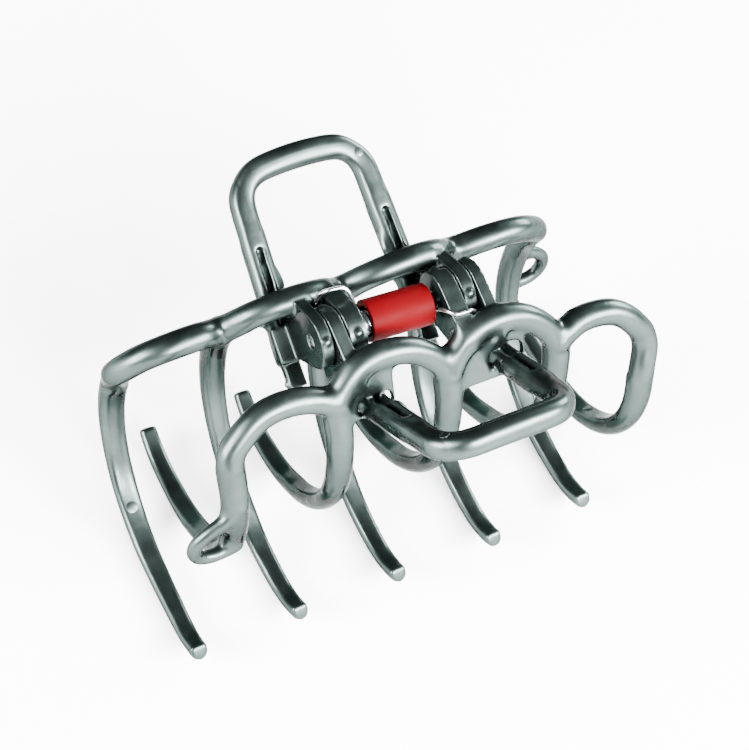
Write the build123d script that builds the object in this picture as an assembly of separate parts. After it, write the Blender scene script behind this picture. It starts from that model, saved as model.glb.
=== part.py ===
from build123d import *
import os
from math import asin, atan2, cos, hypot, pi, radians, sin, tan

# A large claw hair clip, closed and standing on its tines.
# X runs along the hinge, Y to the rear, Z up from the floor. Millimetres and degrees.
# Both jaws are one moulding: the front jaw is the rear jaw turned half a turn about Z.

# Rail and tines
tine_pitch = 21.7
comb_shift = 5.9
rail_height = 50.3
rail_bar = 5.5
rail_lean = 25.0
hump_rise = 7.2
arch_radius = 32.8
heel_back = 16.0
tip_front = 25.6
tip_radius = 15.0
tip_angle = 37.0
tine_root_width = 5.8
tine_root_depth = 4.8
tine_tip_width = 3.7
tine_tip_depth = 3.4
tine_edge = 0.6
node_swell = 0.3

# Hinge
hinge_height = 55.8
lug_radius = 5.5
prong_inner_face = 8.2
prong_thickness = 3.7
tongue_inner_face = 12.15
tongue_thickness = 2.75
cheek_inner_face = 15.15
cheek_thickness = 2.35
pin_diameter = 2.6
pin_clearance = 0.05
pin_recess = 0.3
seat_rise = 4.6

# Handle loop
handle_centre = -3.85
handle_width = 25.8
handle_back = 35.2
handle_height = 62.6
handle_bar = 5.0
handle_edge = 1.6
handle_corner = 5.4
leg_end_back = 5.0
leg_end_height = 43.6
leg_spread = 1.45
slot_width = 1.2
slot_depth = 1.7
slot_start = 12.5

# Webs between rail and legs
web_thickness = 2.4
web_drop = 5.0
web_edge = 0.8
notch_radius = 3.5
notch_lift = 1.6

# Eyelet on the end tine
eyelet_height = 28.6
eyelet_radius = 4.5
eyelet_bar = 2.4
eyelet_offset = 6.4
eyelet_back = 1.0

# Spring and sleeve
wire_diameter = 0.8
coil_inner = 3.3
coil_outer = 5.1
coil_end_gap = 0.15
arm_clearance = 0.5
arm_to_rail = 1.2
arm_bend = 1.0
arm_short = 1.0
sleeve_outer = 8.2
sleeve_inner = 6.2
sleeve_length = 12.9
sleeve_shift = 0.2
sleeve_lift = 0.1
sleeve_tilt = 2.1

# Smoothness of the lofted tines
arch_steps = 10
tip_steps = 4
bend_share = 0.45
web_steps = 24

# Tines, plain end first: shares of the pitch, rail height, arch radius and heel depth.
TINES = [
    {"drift": 0.065, "top": 0.705, "arch": 0.78, "heel": 1.29},
    {"drift": -0.075, "top": 0.975, "arch": 1.00, "heel": 1.02},
    {"drift": 0.015, "top": 1.000, "arch": 1.00, "heel": 1.00},
    {"drift": 0.095, "top": 1.035, "arch": 1.015, "heel": 1.00},
    {"drift": 0.095, "top": 0.925, "arch": 0.925, "heel": 1.05},
]

# Points that each hump's curve passes: shares of the span and of the hump rise.
HUMPS = [
    [(-0.06, 0.94), (0.12, 1.48), (0.39, 1.39), (0.72, 0.83)],
    [(0.10, 0.40), (0.24, 0.78), (0.50, 1.01), (0.76, 0.82), (0.90, 0.45)],
    [(0.09, 0.36), (0.24, 0.72), (0.49, 0.93), (0.76, 0.78), (0.90, 0.42)],
    [(0.22, 0.44), (0.49, 0.75), (0.72, 0.76), (0.92, 0.44)],
]

lean_slope = tan(radians(rail_lean))
sole_height = tine_root_depth / 2


# Side position of a tine's tip.
def tip_x(index):
    return (index - len(TINES) // 2) * tine_pitch - comb_shift


# Radius and centre of the arc that a tine follows in side view.
def tine_arch(index):
    row = TINES[index]
    radius = row["arch"] * arch_radius
    return radius, row["heel"] * heel_back - radius, radius + sole_height


# Point where a tine leaves the rail.
def tine_top(index):
    row = TINES[index]
    radius, centre_y, centre_z = tine_arch(index)
    height = row["top"] * rail_height
    back = centre_y + radius * cos(asin((height - centre_z) / radius))
    return Vector(tip_x(index) + row["drift"] * tine_pitch, back, height)


# Points and headings of a tine in side view, from the rail to the tip.
def tine_stations(index):
    radius, centre_y, centre_z = tine_arch(index)
    top = asin((tine_top(index).Z - centre_z) / radius)
    stations = []
    for step in range(arch_steps + 1):
        turn = top - (top + pi / 2) * step / arch_steps
        spot = (centre_y + radius * cos(turn), centre_z + radius * sin(turn))
        stations.append((spot, (sin(turn), -cos(turn))))
    tip_turn = radians(tip_angle)
    flat_end = tip_radius * sin(tip_turn) - tip_front
    if flat_end < centre_y - tine_tip_width:
        stations.append(((flat_end, sole_height), (-1, 0)))
    start = min(flat_end, centre_y)
    for step in range(1, tip_steps + 1):
        turn = tip_turn * step / tip_steps
        spot = (start - tip_radius * sin(turn), sole_height + tip_radius * (1 - cos(turn)))
        stations.append((spot, (-cos(turn), sin(turn))))
    return stations


# Section of a tine: a round back and a flat inner face with narrow bevels.
def tine_section(place, width, depth):
    half = width / 2
    crown = depth / 2
    flat = Polyline((-half, 0), (-half, crown - tine_edge), (-half + tine_edge, crown),
                    (half - tine_edge, crown), (half, crown - tine_edge), (half, 0))
    back = ThreePointArc((half, 0), (0, -crown), (-half, 0))
    return place * make_face(flat.edges() + back.edges())


# One tine, lofted through sections that narrow towards the tip.
def make_tine(index):
    stations = tine_stations(index)
    top = tine_top(index)
    last = len(stations) - 1
    travel = [0.0]
    for (a, _), (b, _) in zip(stations, stations[1:]):
        travel.append(travel[-1] + (Vector(*a) - Vector(*b)).length)
    sections = []
    for number, (spot, heading) in enumerate(stations):
        share = travel[number] / travel[last]
        width = tine_root_width + (tine_tip_width - tine_root_width) * share
        depth = tine_root_depth + (tine_tip_depth - tine_root_depth) * share
        lift = (tine_root_depth - depth) / 2
        inner = Vector(0, heading[1], -heading[0])
        centre = Vector(top.X + (tip_x(index) - top.X) * share, *spot) - inner * lift
        place = Plane(origin=centre, x_dir=(1, 0, 0), z_dir=(0, *heading))
        sections.append(tine_section(place, width, depth))
    return loft(sections)


# A round bar along straight runs joined by arcs as large as the runs allow.
def make_wire(points, diameter):
    runs = [(b - a).length for a, b in zip(points, points[1:])]
    radii = []
    for number in range(1, len(points) - 1):
        turn = (points[number] - points[number - 1]).get_angle(points[number + 1] - points[number])
        shorter = min(runs[number - 1], runs[number])
        radii.append(bend_share * shorter / tan(radians(turn) / 2))
    return make_bar(FilletPolyline(*points, radius=radii), diameter)


# A round bar along a path.
def make_bar(path, diameter):
    start = Plane(origin=path @ 0, z_dir=path % 0)
    return sweep(start * Circle(diameter / 2), path=path)


# The heading of a tine where it leaves the rail.
def tine_heading(index):
    return Vector(0, *tine_stations(index)[0][1])


# The smooth curve of the hump between two tines; at the jaw's ends it runs on into the tine.
def hump_path(index):
    start = tine_top(index)
    end = tine_top(index + 1)
    points = [start]
    for along, share in HUMPS[index]:
        rise = share * hump_rise
        base = start + (end - start) * max(along, 0)
        points.append(Vector(start.X + (end.X - start.X) * along, base.Y - rise * lean_slope, base.Z + rise))
    points.append(end)
    leaving = points[1] - start if index > 0 else -tine_heading(index)
    arriving = end - points[-2] if index < len(HUMPS) - 1 else tine_heading(index + 1)
    return Spline(*points, tangents=[leaving.normalized(), arriving.normalized()])


# The wavy rail, with a swelling where each tine leaves it.
def make_rail():
    humps = [make_bar(hump_path(index), rail_bar) for index in range(len(HUMPS))]
    inner = range(1, len(TINES) - 1)
    knots = [Pos(*tine_top(index)) * Sphere(rail_bar / 2 + node_swell) for index in inner]
    ends = [Pos(*tine_top(index)) * Sphere(rail_bar / 2) for index in (0, len(TINES) - 1)]
    return humps + knots + ends


# Corner points of the handle loop, from the left leg's inner end to the right leg's.
def handle_points():
    left = handle_centre - handle_width / 2
    right = handle_centre + handle_width / 2
    return [Vector(left - leg_spread, leg_end_back, leg_end_height),
            Vector(left, handle_back, handle_height),
            Vector(right, handle_back, handle_height),
            Vector(right + leg_spread, leg_end_back, leg_end_height)]


# A leg's axis at a chosen depth behind the hinge.
def leg_point(side, back):
    points = handle_points()
    inner, outer = (points[0], points[1]) if side == "left" else (points[3], points[2])
    return inner + (outer - inner) * ((back - inner.Y) / (outer.Y - inner.Y))


# The handle loop: one bar of rounded square section bent round two corners.
def make_handle():
    points = handle_points()
    path = FilletPolyline(*points, radius=handle_corner)
    start = Plane(origin=path @ 0, x_dir=(1, 0, 0), z_dir=path % 0)
    return sweep(start * RectangleRounded(handle_bar, handle_bar, handle_edge), path=path)


# A round-ended slot along the upper face of a leg.
def leg_slot(side):
    inner = leg_point(side, leg_end_back)
    outer = leg_point(side, handle_back)
    run = (outer - inner).length - slot_start
    away = (inner - outer).normalized()
    upward = away.cross(Vector(1, 0, 0)).normalized()
    if upward.Z < 0:
        upward = -upward
    middle = outer + away * (slot_start + run / 2)
    place = Plane(origin=middle + upward * (handle_bar / 2), x_dir=away, z_dir=upward)
    return extrude(place * SlotOverall(run + slot_width, slot_width), amount=-slot_depth)


# The web plate under a hump, with an arched notch over the leg.
def make_web(index, side):
    path = hump_path(index)
    end = tine_top(index + 1)
    slope = radians(rail_lean)
    place = Plane(origin=(0, end.Y, end.Z), x_dir=(1, 0, 0), z_dir=(0, -cos(slope), -sin(slope)))
    leg = leg_point(side, end.Y)
    leg_height = (leg.Z - end.Z) / cos(slope)
    free = leg.X - notch_radius - web_edge
    crest = [path @ (step / web_steps) for step in range(web_steps + 1)]
    rim = [(spot.X, (spot.Z - end.Z) / cos(slope)) for spot in crest if spot.X > free]
    outline = Polyline((free, -web_drop), (free, rim[0][1]), *rim, (end.X, -web_drop), close=True)
    plate = extrude(place * make_face(outline), amount=web_thickness / 2, both=True)
    arch = Pos(leg.X, leg_height + notch_lift) * Circle(notch_radius)
    sides = Pos(leg.X, leg_height + notch_lift / 2) * Rectangle(2 * notch_radius, notch_lift)
    lower = Pos(leg.X, leg_height - notch_radius) * Rectangle(3 * notch_radius, 2 * notch_radius)
    return plate - extrude(place * (arch + sides - lower), amount=web_thickness, both=True)


# A flat plate across the hinge axis, the hull of round corners given as depth, height and radius.
def make_plate(corners, face, thickness):
    rounds = Sketch() + [Pos(back, height) * Circle(radius) for back, height, radius in corners]
    hull = Plane.YZ * make_hull(rounds.edges())
    return extrude(Pos(face, 0, 0) * hull, amount=thickness)


# Depth of the rail's bar where the lugs meet it.
def seat_back():
    return tine_top(2).Y - seat_rise * lean_slope


# Height of the lugs' upper edge at a chosen depth.
def lug_top(back):
    run = seat_back()
    drop = hinge_height - rail_height - seat_rise
    slope = atan2(drop, run) + asin((lug_radius - rail_bar / 2) / hypot(run, drop))
    return hinge_height + (lug_radius - back * sin(slope)) / cos(slope)


# The three hinge lugs: cheek and prong on the left, tongue on the right, with the pin's bore.
def make_lugs():
    knuckle = (0, hinge_height, lug_radius)
    seat = (seat_back(), rail_height + seat_rise, rail_bar / 2)
    foot = (leg_end_back + handle_bar / 2, leg_end_height + handle_bar / 2, handle_bar / 2)
    cheek = make_plate([knuckle, seat, foot], -cheek_inner_face - cheek_thickness, cheek_thickness)
    prong = make_plate([knuckle, seat], -prong_inner_face - prong_thickness, prong_thickness)
    tongue = make_plate([knuckle, seat, foot], tongue_inner_face, tongue_thickness)
    return [cheek, prong, tongue]


# The small loop on the outer side of the end tine.
def make_eyelet():
    last = len(TINES) - 1
    radius, centre_y, centre_z = tine_arch(last)
    turn = asin((eyelet_height - centre_z) / radius)
    back = centre_y + radius * cos(turn) + eyelet_back
    ring = Rot(90, 0, 0) * Torus(eyelet_radius, eyelet_bar / 2)
    reach = 2 * eyelet_radius + eyelet_offset
    outer = Pos(reach / 2 - eyelet_offset, 0, 0) * Box(reach, 4 * eyelet_bar, 4 * eyelet_radius)
    return Pos(tip_x(last) + eyelet_offset, back, eyelet_height) * (ring & outer)


# A whole jaw, one moulding.
def make_jaw():
    pieces = make_rail() + [make_tine(index) for index in range(len(TINES))]
    pieces += [make_handle(), make_web(1, "left"), make_web(2, "right"), make_eyelet()]
    pieces += make_lugs()
    jaw = pieces[0].fuse(*pieces[1:])
    bore = Pos(0, 0, hinge_height) * Rot(0, 90, 0) * Cylinder(pin_diameter / 2 + pin_clearance, 3 * tine_pitch)
    jaw = jaw - bore
    for side in ("left", "right"):
        jaw = jaw - leg_slot(side)
    return jaw


# The plain pin through all six lugs.
def make_pin():
    length = 2 * (cheek_inner_face + cheek_thickness - pin_recess)
    return Pos(0, 0, hinge_height) * Rot(0, 90, 0) * Cylinder(pin_diameter / 2, length)


# The wound spring: its close coil as one tube, and an arm that leads from each end to a jaw.
def make_spring():
    half = prong_inner_face - coil_end_gap
    across = Pos(0, 0, hinge_height) * Rot(0, 90, 0)
    coil = across * (Cylinder(coil_outer / 2, 2 * half) - Cylinder(coil_inner / 2, 3 * half))
    side = half - wire_diameter
    rim = (coil_inner + coil_outer) / 4
    far = seat_back() - (rail_bar + wire_diameter) / 2 - arm_to_rail
    high = lug_top(rim + arm_bend) + wire_diameter / 2 + arm_clearance
    past = prong_inner_face + prong_thickness
    arm = [Vector(-side, rim, hinge_height), Vector(-side, rim + arm_bend, high), Vector(-past, far, high),
           Vector(arm_short - cheek_inner_face, far, high)]
    rear = make_wire(arm, wire_diameter)
    return coil + rear + Rot(0, 0, 180) * rear


# The loose plastic tube round the spring, hanging a little askew.
def make_sleeve():
    tube = Cylinder(sleeve_outer / 2, sleeve_length) - Cylinder(sleeve_inner / 2, 2 * sleeve_length)
    place = Pos(sleeve_shift, 0, hinge_height + sleeve_lift) * Rot(0, sleeve_tilt, -sleeve_tilt)
    return place * Rot(0, 90, 0) * tube


def write(name, solid):
    solid.label = name
    export_step(solid, "parts/" + name + ".step")
    print(name, len(solid.solids()), "solid, volume", round(solid.volume, 1))


os.makedirs("parts", exist_ok=True)
jaw = make_jaw()
write("rear_jaw", jaw)
write("front_jaw", Rot(0, 0, 180) * jaw)
write("hinge_pin", make_pin())
write("torsion_spring", make_spring())
write("spring_sleeve", make_sleeve())
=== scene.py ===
from math import cos, pi, radians, sin

import bmesh
import bpy
import numpy as np
from mathutils import Matrix, Vector
from mathutils.bvhtree import BVHTree


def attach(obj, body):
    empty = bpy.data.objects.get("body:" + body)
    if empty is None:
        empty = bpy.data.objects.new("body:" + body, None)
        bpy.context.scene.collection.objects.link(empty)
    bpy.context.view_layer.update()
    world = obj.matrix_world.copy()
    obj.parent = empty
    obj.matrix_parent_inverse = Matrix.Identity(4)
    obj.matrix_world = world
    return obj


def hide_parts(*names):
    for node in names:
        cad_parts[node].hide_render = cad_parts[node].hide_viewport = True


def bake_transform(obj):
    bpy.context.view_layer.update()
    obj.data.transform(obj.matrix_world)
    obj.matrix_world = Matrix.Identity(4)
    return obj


# A large claw hair clip, closed and standing on its tines. Metres throughout.

MM = 0.001

# The handle stands a little to the left of the clip's middle.
HANDLE_MIDDLE = -3.85 * MM


# Spots in metres from places in mm.
def spots(*places):
    return [Vector(place) * MM for place in places]


# The same places, in mm, on the other leg of the handle.
def other_leg(*places):
    return [(2 * HANDLE_MIDDLE / MM - x, y, z) for x, y, z in places]


# Signs of x, y and z in a jaw: the front jaw is the rear one turned half round about the vertical.
JAW_SIGNS = {"rear_jaw": Vector((1, 1, 1)), "front_jaw": Vector((-1, -1, 1))}

# Jaws: grain of the skin, its softening, and the planes where it is parted into pieces
VOXEL = 0.25 * MM
WELD = 0.001 * MM
SOFT_SHARE = 0.5
SOFT_STEPS = 4
ROUND_STEPS = 45
REACH = "reach"
REACH_LEVELS = 20
TINE_PART = 38.0 * MM
CORE_PART = 1.0 * MM
TINE_GAP = 5.0 * MM
HANDLE_PART = Vector((0, 22.0, 54.3)) * MM
HANDLE_ALONG = Vector((0, 0.846, 0.533)).normalized()
HANDLE_UP = Vector((0, -0.533, 0.846)).normalized()

# Crisper stretches of the rear jaw, in mm: each fades in from first to second, out from third to last.
LEFT_LUGS = (-19, -18, -8, -7)
RIGHT_LUGS = (11, 12, 15.5, 16.5)
SLOTTED = (14.5, 16, 25, 27)
INNER_LEGS_HIGH = (39, 41, 52, 53)

# Heights and depths in mm between which crisp and rounded edges fade into each other
TINE_TIPS = (8, 18)
LUGS_FOOT = (39, 41)
LUGS_FACE = (8, 10)
SLOTS_FOOT = (44, 46)
INNER_LEGS_FACE = (10, 11)

# How much rounding the tine tips keep, and how much the slots and the legs' inner ends lose
TIP_ROUNDING = 0.35
SLOT_CRISPNESS = 0.85
LEG_CRISPNESS = 0.9

# The handle's outer bar is arched outwards and upwards, most in its middle; in mm, where the arch sets in
HANDLE_HALF = 13.0 * MM
BOW = Vector((0, 0.7, 1.6)) * MM
BOW_RISE = (27, 34)

# Joints of the end tines with the rail, softened more
END_JOINTS = spots((-47.9, 7.6, 35.5), (39.6, 12.0, 46.5))
JOINT_REACH = (2.5 * MM, 6.0 * MM)
JOINT_STEPS = 110

# Inner ends of the legs: a flat foot and a thinner stub with a bead; lift and set-back are shares of them
LEG_END = (-18.2, 5.0, 43.6)
LEG_ENDS = spots(LEG_END, *other_leg(LEG_END))
LEG_FOOT = Vector((4.9, 7.0, 2.5)) * MM
FOOT_LIFT = 0.54
LEG_STUB = Vector((3.4, 9.0, 2.6)) * MM
STUB_SHIFT = Vector((-0.2, -0.42, -0.27)) * MM
BEAD_BACK = 0.37
BEAD_RADIUS = 0.8 * MM
BEAD_FACETS = (16, 10)

# Closed outer ends of the slots in the legs
SLOT_END = (-17.28, 23.64, 57.30)
SLOT_ENDS = spots(SLOT_END, *other_leg(SLOT_END))
SLOT_PLUG = Vector((1.7, 1.4, 1.7)) * MM

# Wedges beside the slots, each a bar whose ends turn back into its leg
WEDGE = ((-16.3, 21.2, 54.8), (-15.5, 18.2, 52.9), (-15.4, 16.9, 52.1), (-16.0, 15.9, 51.4),
         (-17.0, 15.3, 51.0))
WEDGES = [spots(*WEDGE), spots(*other_leg(*WEDGE))]
WEDGE_BAR = 1.15 * MM
WEDGE_SIDES = 16

# Lintels that lower the arched notches nearer to the legs: the web's lean, the legs' axes at the webs
LEAN = radians(25)
WEB_UP = Vector((0, -sin(LEAN), cos(LEAN)))
NOTCHES = spots((-17.85, 13.05, 48.74), (10.18, 13.43, 48.34))
LINTEL = Vector((7.0, 2.0, 1.9)) * MM
LINTEL_RISE = 4.35 * MM

# Loop on the end tine: its middle and the points that its bar passes, from there
LOOP = Vector((43.9, 17.52, 28.6)) * MM
LOOP_PATH = spots((-5.4, 0, 10.4), (-4.0, 0, 8.2), (-1.8, 0, 6.2), (0.9, 0, 4.6), (3.2, 0, 2.4),
                  (3.9, 0, -0.6), (2.9, 0, -3.1), (0.2, 0, -4.3), (-2.8, 0, -4.1), (-6.0, 0, -3.2))
LOOP_STEPS = 4
LOOP_BAR = 1.6 * MM
LOOP_SIDES = 20

# Round marks that the mould leaves: spot, radius and height, of which the rim's bevel takes a share
MARKS = [(Vector((8.23, 32.29, 63.90)) * MM, 0.95 * MM, 0.07 * MM),
         (Vector((-48.8, 7.81, 7.80)) * MM, 1.2 * MM, 0.05 * MM)]
MARK_SIDES = 32
MARK_BEVEL = 0.8

# Small domes on the hinge lugs
DOMES = spots((-16.42, -3.75, 59.80), (-10.01, -4.0, 59.55), (13.50, -3.85, 59.70))
DOME_RADIUS = 1.1 * MM
DOME_SINK = 0.55 * MM
DOME_FACETS = (20, 12)

# Hinge
HINGE = Vector((0, 0, 55.8)) * MM
AXIS_WELD = 0.0001 * MM
PIN_RADIUS = 1.3 * MM
PIN_HALF = 17.2 * MM
PIN_CHAMFER = 0.25 * MM
PIN_SIDES = 32

# Spring: its wire, its coil and the points that its arms pass, from the hinge's middle
WIRE = 0.8 * MM
WIRE_SIDES = 10
COIL_RADIUS = 2.05 * MM
COIL_HALF = 7.25 * MM
COIL_TURNS = 17
COIL_TRIM = 4
RING_STEPS = 30
ARM_STEPS = 6
REAR_ARM = spots((-13.5, 6.5, 2.1), (-13.0, 6.3, 4.6), (-11.8, 5.4, 6.2), (-10.3, 5.1, 6.4),
                 (-9.0, 4.9, 6.1), (-8.0, 4.2, 5.2), (-7.5, 3.3, 3.6), (-7.3, 2.4, 2.0))
FRONT_ARM = spots((7.35, -2.6, 0.6), (7.55, -3.9, 2.0), (7.8, -5.7, 3.5), (8.7, -7.1, 3.9),
                  (10.3, -7.3, 3.75), (11.8, -7.2, 3.5), (12.8, -7.0, 2.7), (13.6, -6.9, 1.9))

# Sleeve
SLEEVE_OUTER = 4.1 * MM
SLEEVE_INNER = 3.1 * MM
SLEEVE_HALF = 6.45 * MM
SLEEVE_EDGE = 0.22 * MM
SLEEVE_SHIFT = Vector((0.2, 0, 0.1)) * MM
SLEEVE_TILT = radians(2.1)
SLEEVE_SIDES = 64
CORNER_STEPS = 4

# Deep and light tones of each material, and the strength and height of its grain
JAW_TONES = ((0.023, 0.0315, 0.0295), (0.044, 0.0575, 0.054))
SLEEVE_TONES = ((0.033, 0.0, 0.0006), (0.040, 0.0, 0.0008))
SPRING_TONES = ((0.24, 0.25, 0.26), (0.42, 0.43, 0.44))
PIN_TONES = ((0.10, 0.11, 0.11), (0.17, 0.18, 0.18))
PLASTIC_GRAIN = (0.05, 0.1 * MM)
SPRING_LINES = (0.15, 0.05 * MM)
PIN_LINES = (0.2, 0.05 * MM)

# Constants of each material's shader
JAW_SHINE = {"Metallic": 1.0, "Specular Tint": (0.26, 0.30, 0.29, 1), "Coat Weight": 0.12,
             "Coat Roughness": 0.12}
SLEEVE_SHINE = {"Specular IOR Level": 0.02}
STEEL_SHINE = {"Metallic": 1.0}

# Sockets of the shared effects: kinds, what each effect gives, and the mix node's two inputs and result
COLOUR, NUMBER, VECTOR = "NodeSocketColor", "NodeSocketFloat", "NodeSocketVector"
SURFACE = {"Color": COLOUR, "Roughness": NUMBER, "Height": NUMBER}
MIX_SOCKETS = {"FLOAT": (2, 3, 0), "RGBA": (6, 7, 2)}

# Floor and studio light; each lamp's name, place, size and power
FLOOR_HALF = 3.0
FLOOR_TONE = (0.86, 0.865, 0.86, 1)
FLOOR_ROUGHNESS = 0.75
STUDIO_TONE = (0.50, 0.66, 0.63, 1)
STUDIO_STRENGTH = 0.26
LAMP_AIM = Vector((0, 0, 0.02))
LAMPS = [("front", (0.35, -0.90, 0.60), (1.5, 0.45), 330),
         ("left", (-0.95, 0.05, 0.42), (0.6, 0.5), 105),
         ("right", (0.95, 0.35, 0.35), (0.5, 0.4), 45)]

# Camera: heading, height and roll in degrees, then the distance and the shift of the aim
CAMERA_AZIMUTH = 35.95
CAMERA_HEIGHT = 53.31
CAMERA_ROLL = 10.51
CAMERA_DISTANCE = 435.8 * MM
CAMERA_AIM = Vector((0, 0, 5.17)) * MM
CAMERA_PAN = Vector((1.80, 18.19)) * MM
CAMERA_NEAREST = 10 * MM
LENS = 101.85
SENSOR = 36.0


def link(data, name):
    piece = bpy.data.objects.new(name, data)
    bpy.context.scene.collection.objects.link(piece)
    return piece


# The mesh of a bmesh that is done, with its faces turned outwards.
def closed_mesh(bm, name):
    bmesh.ops.recalc_face_normals(bm, faces=bm.faces)
    mesh = bpy.data.meshes.new(name)
    bm.to_mesh(mesh)
    bm.free()
    return mesh


# The same, with its material and smooth shading.
def finished_mesh(bm, name, material):
    mesh = closed_mesh(bm, name)
    mesh.materials.append(material)
    mesh.polygons.foreach_set("use_smooth", [True] * len(mesh.polygons))
    mesh.update()
    return mesh


def add(tree, kind, place, **values):
    node = tree.nodes.new(kind)
    node.location = place
    for key, value in values.items():
        setattr(node, key, value)
    return node


def set_inputs(node, values):
    for key, value in values.items():
        node.inputs[key].default_value = value


# A node group that gives a surface, and the sockets inside it: what it is given, what it gives.
def new_group(name, **inputs):
    tree = bpy.data.node_groups.new(name, "ShaderNodeTree")
    for title, kind in inputs.items():
        tree.interface.new_socket(name=title, in_out="INPUT", socket_type=kind)
    for title, kind in SURFACE.items():
        tree.interface.new_socket(name=title, in_out="OUTPUT", socket_type=kind)
    given = add(tree, "NodeGroupInput", (-900, 0)).outputs
    surface = add(tree, "NodeGroupOutput", (700, 0)).inputs
    return tree, given, surface


def noise(tree, place, vector, scale, detail, rough=0.5):
    node = add(tree, "ShaderNodeTexNoise", place)
    set_inputs(node, {"Scale": scale, "Detail": detail, "Roughness": rough})
    tree.links.new(vector, node.inputs["Vector"])
    return node.outputs["Fac"]


# A value carried from one range to another.
def ramp(tree, place, value, seen, wanted):
    node = add(tree, "ShaderNodeMapRange", place)
    set_inputs(node, {"From Min": seen[0], "From Max": seen[1], "To Min": wanted[0], "To Max": wanted[1]})
    tree.links.new(value, node.inputs["Value"])
    return node.outputs["Result"]


def calculate(tree, place, kind, a, b):
    node = add(tree, "ShaderNodeMath", place, operation=kind)
    for socket, value in zip(node.inputs, (a, b)):
        if isinstance(value, float):
            socket.default_value = value
        else:
            tree.links.new(value, socket)
    return node.outputs["Value"]


# Two numbers or colours, mixed by a third value.
def mix(tree, place, kind, factor, a, b):
    first, second, result = MIX_SOCKETS[kind]
    node = add(tree, "ShaderNodeMix", place, data_type=kind)
    for socket, value in (("Factor", factor), (first, a), (second, b)):
        tree.links.new(value, node.inputs[socket])
    return node.outputs[result]


# Soft mottling of a moulded surface: a colour between two, a roughness and a fine height.
def make_moulded_group():
    tree, given, surface = new_group("moulded_surface", Vector=VECTOR, Deep=COLOUR, Light=COLOUR,
                                     Smooth=NUMBER, Handled=NUMBER)
    where = given["Vector"]
    flow = noise(tree, (-600, 300), where, scale=60, detail=3)
    speck = noise(tree, (-600, 60), where, scale=5200, detail=2)
    smear = noise(tree, (-600, -180), where, scale=210, detail=5, rough=0.6)
    peel = noise(tree, (-600, -420), where, scale=1400, detail=2)
    broad = ramp(tree, (-380, 300), flow, (0.35, 0.65), (0.0, 0.7))
    fine = ramp(tree, (-380, 60), speck, (0.45, 0.7), (0.0, 0.3))
    mottled = calculate(tree, (-160, 200), "ADD", broad, fine)
    tone = mix(tree, (80, 200), "RGBA", mottled, given["Deep"], given["Light"])
    tree.links.new(tone, surface["Color"])
    worn = ramp(tree, (-380, -180), smear, (0.36, 0.70), (0.0, 1.0))
    rough = mix(tree, (80, -120), "FLOAT", worn, given["Smooth"], given["Handled"])
    tree.links.new(rough, surface["Roughness"])
    waves = calculate(tree, (-380, -420), "MULTIPLY", peel, 0.6)
    grains = calculate(tree, (-380, -600), "MULTIPLY", speck, 0.15)
    tree.links.new(calculate(tree, (80, -420), "ADD", waves, grains), surface["Height"])
    return tree


# Fine lines round a drawn wire or a turned pin.
def make_drawn_group():
    tree, given, surface = new_group("drawn_metal", Vector=VECTOR, Deep=COLOUR, Light=COLOUR, Stretch=VECTOR)
    scaled = add(tree, "ShaderNodeVectorMath", (-700, 0), operation="MULTIPLY")
    for socket, name in zip(scaled.inputs, ("Vector", "Stretch")):
        tree.links.new(given[name], socket)
    lines = noise(tree, (-500, 100), scaled.outputs["Vector"], scale=900, detail=4)
    stain = noise(tree, (-500, -200), given["Vector"], scale=260, detail=3)
    stained = ramp(tree, (-250, -200), stain, (0.35, 0.65), (0.0, 1.0))
    tone = mix(tree, (0, 200), "RGBA", stained, given["Deep"], given["Light"])
    tree.links.new(tone, surface["Color"])
    tree.links.new(ramp(tree, (0, 0), lines, (0.3, 0.7), (0.16, 0.38)), surface["Roughness"])
    tree.links.new(lines, surface["Height"])
    return tree


# A material that takes colour, roughness and bump from a group, with constants on the shader.
def make_material(name, group, tones, grain, constants, **group_values):
    material = bpy.data.materials.new(name)
    material.use_nodes = True
    tree = material.node_tree
    shader = tree.nodes["Principled BSDF"]
    set_inputs(shader, constants)
    where = add(tree, "ShaderNodeTexCoord", (-900, 0))
    effect = add(tree, "ShaderNodeGroup", (-600, 0), node_tree=group)
    tree.links.new(where.outputs["Object"], effect.inputs["Vector"])
    deep, light = tones
    set_inputs(effect, {"Deep": (*deep, 1), "Light": (*light, 1), **group_values})
    relief = add(tree, "ShaderNodeBump", (-300, -200))
    strength, height = grain
    set_inputs(relief, {"Strength": strength, "Distance": height})
    tree.links.new(effect.outputs["Color"], shader.inputs["Base Color"])
    tree.links.new(effect.outputs["Roughness"], shader.inputs["Roughness"])
    tree.links.new(effect.outputs["Height"], relief.inputs["Height"])
    tree.links.new(relief.outputs["Normal"], shader.inputs["Normal"])
    return material


# A mesh with modifiers applied, so that later steps can reach its points.
def settled(mesh, name, *settings, weights=None):
    piece = link(mesh, name + "_raw")
    if weights is not None:
        group = piece.vertex_groups.new(name=REACH)
        levels = np.rint(weights * REACH_LEVELS).astype(int)
        for level in range(1, REACH_LEVELS + 1):
            group.add(np.flatnonzero(levels == level).tolist(), level / REACH_LEVELS, "REPLACE")
    for kind, values in settings:
        modifier = piece.modifiers.new(kind.lower(), kind)
        for key, value in values.items():
            setattr(modifier, key, value)
    seen = piece.evaluated_get(bpy.context.evaluated_depsgraph_get())
    made = bpy.data.meshes.new_from_object(seen)
    bpy.data.objects.remove(piece)
    made.name = name
    return made


# The settings of a smoothing, with its number of rounds.
def smoothing(steps, **values):
    return "SMOOTH", {"factor": SOFT_SHARE, "iterations": steps, **values}


# A spot or direction of the rear jaw, carried to the same place of a jaw.
def in_jaw(node, spot):
    return spot * JAW_SIGNS[node]


# The points of a mesh as rows of x, y and z.
def points_of(mesh):
    places = np.empty(len(mesh.vertices) * 3)
    mesh.vertices.foreach_get("co", places)
    return places.reshape(-1, 3)


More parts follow.
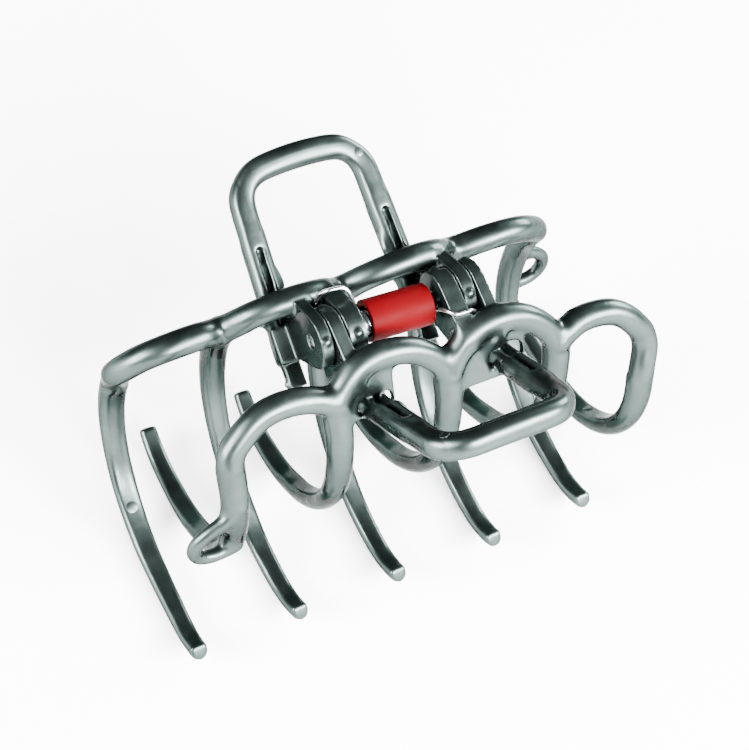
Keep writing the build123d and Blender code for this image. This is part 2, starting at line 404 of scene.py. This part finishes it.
# From nought to one between two values.
def rise(values, low, high):
    return ((values - low) / (high - low)).clip(0, 1)


# From one to nought between two values.
def fall(values, low, high):
    return rise(-values, -high, -low)


# One within a stretch and nought outside, with both ends faded.
def within(values, stretch):
    return rise(values, *stretch[:2]) * fall(values, *stretch[2:])


# How strongly each point of a jaw is rounded off: the lugs, slots, inner legs and tine tips the least.
def rounding(mesh, node):
    x, y, z = (points_of(mesh) * np.array(JAW_SIGNS[node])).T / MM
    tines = TIP_ROUNDING + (1 - TIP_ROUNDING) * rise(z, *TINE_TIPS)
    by_lugs = np.maximum(within(x, LEFT_LUGS), within(x, RIGHT_LUGS))
    lugs = by_lugs * fall(y, *LUGS_FACE) * rise(z, *LUGS_FOOT)
    slots = within(y, SLOTTED) * rise(z, *SLOTS_FOOT)
    inner_legs = fall(y, *INNER_LEGS_FACE) * within(z, INNER_LEGS_HIGH)
    return tines * (1 - lugs) * (1 - SLOT_CRISPNESS * slots) * (1 - LEG_CRISPNESS * inner_legs)


# How near each point is to an end tine's joint with the rail.
def joint_reach(mesh, node):
    places = points_of(mesh)
    weights = np.zeros(len(places))
    for joint in END_JOINTS:
        away = np.linalg.norm(places - np.array(in_jaw(node, joint)), axis=1)
        weights = np.maximum(weights, fall(away, *JOINT_REACH))
    return weights


# A matrix with its axes along a side, a length and their square, at a spot.
def frame_at(spot, side, along):
    matrix = Matrix((side, along, side.cross(along))).transposed().to_4x4()
    return Matrix.Translation(spot) @ matrix


# A block of given size at a spot of the rear jaw, its length laid along the handle's legs or another way.
def add_block(bm, node, spot, size, along=HANDLE_ALONG):
    side = in_jaw(node, Vector((1, 0, 0)))
    place = frame_at(in_jaw(node, spot), side, in_jaw(node, along))
    bmesh.ops.create_cube(bm, size=1, matrix=place @ Matrix.Diagonal((*size, 1)))


# A ball at a spot of the rear jaw.
def add_ball(bm, node, spot, radius, facets):
    around, upwards = facets
    bmesh.ops.create_uvsphere(bm, u_segments=around, v_segments=upwards, radius=radius,
                              matrix=Matrix.Translation(in_jaw(node, spot)))


# A round bar along a path, closed at both ends: rings set square to it, then bridged.
def add_bar(bm, path, radius, sides):
    rings = []
    across = (path[1] - path[0]).orthogonal()
    for number, spot in enumerate(path):
        ahead = (path[min(number + 1, len(path) - 1)] - path[max(number - 1, 0)]).normalized()
        across = (across - ahead * across.dot(ahead)).normalized()
        is_end = number in (0, len(path) - 1)
        made = bmesh.ops.create_circle(bm, cap_ends=is_end, segments=sides, radius=radius,
                                       matrix=frame_at(spot, across, ahead.cross(across)))
        rings.append(list({edge for vert in made["verts"] for edge in vert.link_edges}))
    for ring, following in zip(rings, rings[1:]):
        bmesh.ops.bridge_loops(bm, edges=ring + following)


# Points of a smooth curve through the given ones.
def spline(points, steps):
    path = [points[0] * 2 - points[1], *points, points[-1] * 2 - points[-2]]
    out = []
    for a, b, c, d in zip(path, path[1:], path[2:], path[3:]):
        slope, bend, twist = c - a, 2 * a - 5 * b + 4 * c - d, 3 * b - a - 3 * c + d
        for k in range(steps):
            t = k / steps
            out.append(0.5 * (2 * b + slope * t + bend * t * t + twist * t ** 3))
    return out + [points[-1]]


# The thick loop on an end tine.
def add_loop(bm, node):
    path = [in_jaw(node, LOOP + step) for step in LOOP_PATH]
    add_bar(bm, spline(path, LOOP_STEPS), LOOP_BAR, LOOP_SIDES)


# The inner ends of the handle's legs: flat feet, and thinner stubs with a bead.
def add_leg_ends(bm, node):
    for end in LEG_ENDS:
        foot = end + HANDLE_ALONG * LEG_FOOT.y / 2 + HANDLE_UP * LEG_FOOT.z * FOOT_LIFT
        add_block(bm, node, foot, LEG_FOOT)
        stub = end + STUB_SHIFT
        add_block(bm, node, stub, LEG_STUB)
        bead = stub - Vector((LEG_STUB.x / 2, 0, 0)) - HANDLE_ALONG * LEG_STUB.y * BEAD_BACK
        add_ball(bm, node, bead, BEAD_RADIUS, BEAD_FACETS)


# Details further out on the legs: the slots' closed ends, the lintels over the notches and the wedges.
def add_leg_details(bm, node):
    for end in SLOT_ENDS:
        add_block(bm, node, end, SLOT_PLUG)
    for notch in NOTCHES:
        add_block(bm, node, notch + WEB_UP * LINTEL_RISE, LINTEL, WEB_UP)
    for path in WEDGES:
        add_bar(bm, [in_jaw(node, spot) for spot in path], WEDGE_BAR, WEDGE_SIDES)


# The small domes on the lugs, each pointing away from the hinge.
def add_domes(bm, node):
    for dome in DOMES:
        outward = Vector((0, dome.y, dome.z - HINGE.z)).normalized()
        add_ball(bm, node, dome - outward * DOME_SINK, DOME_RADIUS, DOME_FACETS)


# The outer bar of the handle arched.
def bow_handle(mesh, node):
    signs = np.array(JAW_SIGNS[node])
    rear = points_of(mesh) * signs
    x, y, _ = rear.T
    share = rise(y / MM, *BOW_RISE) * (1 - ((x - HANDLE_MIDDLE) / HANDLE_HALF) ** 2).clip(0, 1)
    rear += share[:, None] * np.array(BOW)
    mesh.vertices.foreach_set("co", (rear * signs).ravel())
    mesh.update()


# A copy of a jaw's solid, merged, joined by its small forms, wrapped in an even skin and softened.
def make_skin(node):
    bm = bmesh.new()
    bm.from_mesh(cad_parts[node].data)
    bmesh.ops.remove_doubles(bm, verts=bm.verts, dist=WELD)
    add_loop(bm, node)
    add_leg_ends(bm, node)
    add_leg_details(bm, node)
    add_domes(bm, node)
    raw = closed_mesh(bm, node)
    even = settled(raw, node, ("REMESH", {"mode": "VOXEL", "voxel_size": VOXEL}), smoothing(SOFT_STEPS))
    soft = settled(even, node, smoothing(ROUND_STEPS, vertex_group=REACH), weights=rounding(even, node))
    soft = settled(soft, node, smoothing(JOINT_STEPS, vertex_group=REACH), weights=joint_reach(soft, node))
    bow_handle(soft, node)
    return soft


# A finished mesh put in the scene, on its body and named after its mesh.
def place_piece(mesh, body):
    piece = link(mesh, mesh.name)
    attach(piece, body)
    return piece


# The round marks that the mould leaves, each a low disc with a bevelled rim.
def make_marks(skin, node, material):
    bm = bmesh.new()
    bm.from_mesh(skin)
    surface = BVHTree.FromBMesh(bm)
    bm.clear()
    for spot, radius, proud in MARKS:
        spot = in_jaw(node, spot)
        normals = [hit[1] for hit in surface.find_nearest_range(spot, radius)]
        outward = sum(normals, Vector()).normalized()
        side = outward.orthogonal().normalized()
        place = frame_at(surface.find_nearest(spot)[0], side, outward.cross(side))
        made = bmesh.ops.create_cone(bm, cap_ends=True, segments=MARK_SIDES, radius1=radius, radius2=radius,
                                     depth=2 * proud, matrix=place)
        rim = list({edge for vert in made["verts"] for edge in vert.link_edges})
        bmesh.ops.bevel(bm, geom=rim, offset=proud * MARK_BEVEL, affect="EDGES", segments=2, profile=0.5,
                        material=-1)
    place_piece(finished_mesh(bm, node + "_mould_marks", material), node)


# The part of a skin inside some planes, each a point and an outward normal, with crisp rims.
def make_part(skin, node, part, planes, material):
    bm = bmesh.new()
    bm.from_mesh(skin)
    for spot, outward in planes:
        spot, outward = in_jaw(node, spot), in_jaw(node, outward)
        geometry = bm.verts[:] + bm.edges[:] + bm.faces[:]
        cut = bmesh.ops.bisect_plane(bm, geom=geometry, plane_co=spot, plane_no=outward, clear_outer=True)
        rim = [edge for edge in cut["geom_cut"] if isinstance(edge, bmesh.types.BMEdge)]
        bmesh.ops.holes_fill(bm, edges=rim)
        for edge in rim:
            edge.smooth = False
    return place_piece(finished_mesh(bm, node + "_" + part, material), node)


# A whole jaw, parted where the seams meet exactly: the rail and lugs, the tines and the handle.
def make_jaw(node, material):
    skin = make_skin(node)
    up, right = Vector((0, 0, 1)), Vector((1, 0, 0))
    low = (up * TINE_PART, -up)
    near = (HANDLE_PART, HANDLE_ALONG)
    core = make_part(skin, node, "rail_left", [low, near, (right * CORE_PART, right)], material)
    make_part(skin, node, "rail_right", [low, near, (right * CORE_PART, -right)], material)
    make_part(skin, node, "tines_left", [(up * TINE_PART, up), (right * TINE_GAP, right)], material)
    make_part(skin, node, "tines_right", [(up * TINE_PART, up), (right * TINE_GAP, -right)], material)
    make_part(skin, node, "handle", [(HANDLE_PART, -HANDLE_ALONG)], material)
    make_marks(skin, node, material)
    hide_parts(node)


# A closed solid of revolution about the hinge axis from (along, radius) pairs.
def turned(name, outline, closed, sides, material):
    bm = bmesh.new()
    corners = [bm.verts.new((x, radius, 0)) for x, radius in outline]
    edges = [bm.edges.new(pair) for pair in zip(corners, corners[1:])]
    if closed:
        edges.append(bm.edges.new((corners[-1], corners[0])))
    bmesh.ops.spin(bm, geom=corners + edges, cent=(0, 0, 0), axis=(1, 0, 0), angle=2 * pi, steps=sides,
                   use_merge=True)
    bmesh.ops.remove_doubles(bm, verts=bm.verts, dist=AXIS_WELD)
    return finished_mesh(bm, name, material)


# A quarter of rounded corner as (along, radius) pairs round a centre.
def rounded_corner(x, radius, size, start):
    angles = [start + pi / 2 * k / CORNER_STEPS for k in range(CORNER_STEPS + 1)]
    return [(x + size * cos(angle), radius + size * sin(angle)) for angle in angles]


def make_sleeve(material):
    end, outer, inner = SLEEVE_HALF - SLEEVE_EDGE, SLEEVE_OUTER - SLEEVE_EDGE, SLEEVE_INNER + SLEEVE_EDGE
    outline = []
    for quarter, (x, radius) in enumerate([(end, outer), (-end, outer), (-end, inner), (end, inner)]):
        outline += rounded_corner(x, radius, SLEEVE_EDGE, quarter * pi / 2)
    mesh = turned("spring_sleeve_tube", outline, True, SLEEVE_SIDES, material)
    place = Matrix.Translation(HINGE + SLEEVE_SHIFT)
    mesh.transform(place @ Matrix.Rotation(-SLEEVE_TILT, 4, "Z") @ Matrix.Rotation(SLEEVE_TILT, 4, "Y"))
    piece = link(mesh, "spring_sleeve_tube")
    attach(piece, "rear_jaw")
    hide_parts("spring_sleeve")


def make_pin(material):
    outline = [(-PIN_HALF, 0), (-PIN_HALF, PIN_RADIUS - PIN_CHAMFER), (-PIN_HALF + PIN_CHAMFER, PIN_RADIUS),
               (PIN_HALF - PIN_CHAMFER, PIN_RADIUS), (PIN_HALF, PIN_RADIUS - PIN_CHAMFER), (PIN_HALF, 0)]
    mesh = turned("hinge_pin_rod", outline, False, PIN_SIDES, material)
    mesh.transform(Matrix.Translation(HINGE))
    piece = link(mesh, "hinge_pin_rod")
    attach(piece, "rear_jaw")
    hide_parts("hinge_pin")


# The wound coil, from its left end to half a turn before its right one, trimmed where the arms take over.
def coil_path():
    total = COIL_TURNS * RING_STEPS
    path = []
    for k in range(total + 1):
        turn = 2 * pi * k / RING_STEPS
        x = -COIL_HALF + 2 * COIL_HALF * k / total
        path.append(HINGE + Vector((x, COIL_RADIUS * cos(turn), COIL_RADIUS * sin(turn))))
    return path[COIL_TRIM:-RING_STEPS // 2 - COIL_TRIM]


# The wound spring: coil and both arms as one wire, which takes up the turn over 6.5 mm to each side.
def make_spring(material):
    rear, front = ([HINGE + step for step in arm] for arm in (REAR_ARM, FRONT_ARM))
    bm = bmesh.new()
    add_bar(bm, spline(rear, ARM_STEPS)[:-1] + coil_path() + spline(front, ARM_STEPS), WIRE / 2, WIRE_SIDES)
    piece = link(finished_mesh(bm, "torsion_spring_wire", material), "torsion_spring_wire")
    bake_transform(piece)
    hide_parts("torsion_spring")


def make_floor():
    bm = bmesh.new()
    bmesh.ops.create_grid(bm, x_segments=1, y_segments=1, size=FLOOR_HALF)
    mesh = bpy.data.meshes.new("floor")
    bm.to_mesh(mesh)
    bm.free()
    material = bpy.data.materials.new("floor_paper")
    material.use_nodes = True
    set_inputs(material.node_tree.nodes["Principled BSDF"],
               {"Base Color": FLOOR_TONE, "Roughness": FLOOR_ROUGHNESS})
    mesh.materials.append(material)
    floor = link(mesh, "floor")


def make_lights():
    world = bpy.data.worlds.new("studio")
    bpy.context.scene.world = world
    world.use_nodes = True
    set_inputs(world.node_tree.nodes["Background"], {"Color": STUDIO_TONE, "Strength": STUDIO_STRENGTH})
    for name, place, size, power in LAMPS:
        data = bpy.data.lights.new(name, "AREA")
        data.shape = "RECTANGLE"
        data.size, data.size_y = size
        data.energy = power
        lamp = link(data, name)
        lamp.location = place
        lamp.rotation_euler = (LAMP_AIM - Vector(place)).to_track_quat("-Z", "Y").to_euler()


def make_camera():
    azimuth, height, roll = (radians(value) for value in (CAMERA_AZIMUTH, CAMERA_HEIGHT, CAMERA_ROLL))
    forward = Vector((sin(azimuth) * cos(height), cos(azimuth) * cos(height), -sin(height)))
    level = Vector((cos(azimuth), -sin(azimuth), 0))
    above = level.cross(forward)
    right = level * cos(roll) + above * sin(roll)
    up = above * cos(roll) - level * sin(roll)
    data = bpy.data.cameras.new("camera")
    data.lens = LENS
    data.sensor_width = SENSOR
    data.sensor_fit = "HORIZONTAL"
    data.clip_start = CAMERA_NEAREST
    camera = link(data, "camera")
    spot = CAMERA_AIM - forward * CAMERA_DISTANCE + right * CAMERA_PAN.x + up * CAMERA_PAN.y
    turn = Matrix((right, up, -forward)).transposed()
    camera.matrix_world = Matrix.Translation(spot) @ turn.to_4x4()
    bpy.context.scene.camera = camera


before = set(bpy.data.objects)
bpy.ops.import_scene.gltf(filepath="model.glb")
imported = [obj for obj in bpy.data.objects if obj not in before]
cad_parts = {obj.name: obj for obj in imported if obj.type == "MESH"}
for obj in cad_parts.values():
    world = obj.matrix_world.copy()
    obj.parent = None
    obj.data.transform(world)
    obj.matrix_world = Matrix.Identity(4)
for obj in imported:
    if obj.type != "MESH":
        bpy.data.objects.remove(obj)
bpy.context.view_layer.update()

moulded = make_moulded_group()
drawn = make_drawn_group()
grey = make_material("jaw_plastic_grey", moulded, JAW_TONES, PLASTIC_GRAIN, JAW_SHINE,
                     Smooth=0.32, Handled=0.42)
red = make_material("sleeve_plastic_red", moulded, SLEEVE_TONES, PLASTIC_GRAIN, SLEEVE_SHINE,
                    Smooth=0.5, Handled=0.6)
steel = make_material("spring_steel_bright", drawn, SPRING_TONES, SPRING_LINES, STEEL_SHINE,
                      Stretch=(1, 0.2, 0.2))
pin_steel = make_material("pin_steel_plain", drawn, PIN_TONES, PIN_LINES, STEEL_SHINE, Stretch=(0.1, 1, 1))

make_jaw("rear_jaw", grey)
make_jaw("front_jaw", grey)
make_pin(pin_steel)
make_spring(steel)
make_sleeve(red)
make_floor()
make_lights()
make_camera()
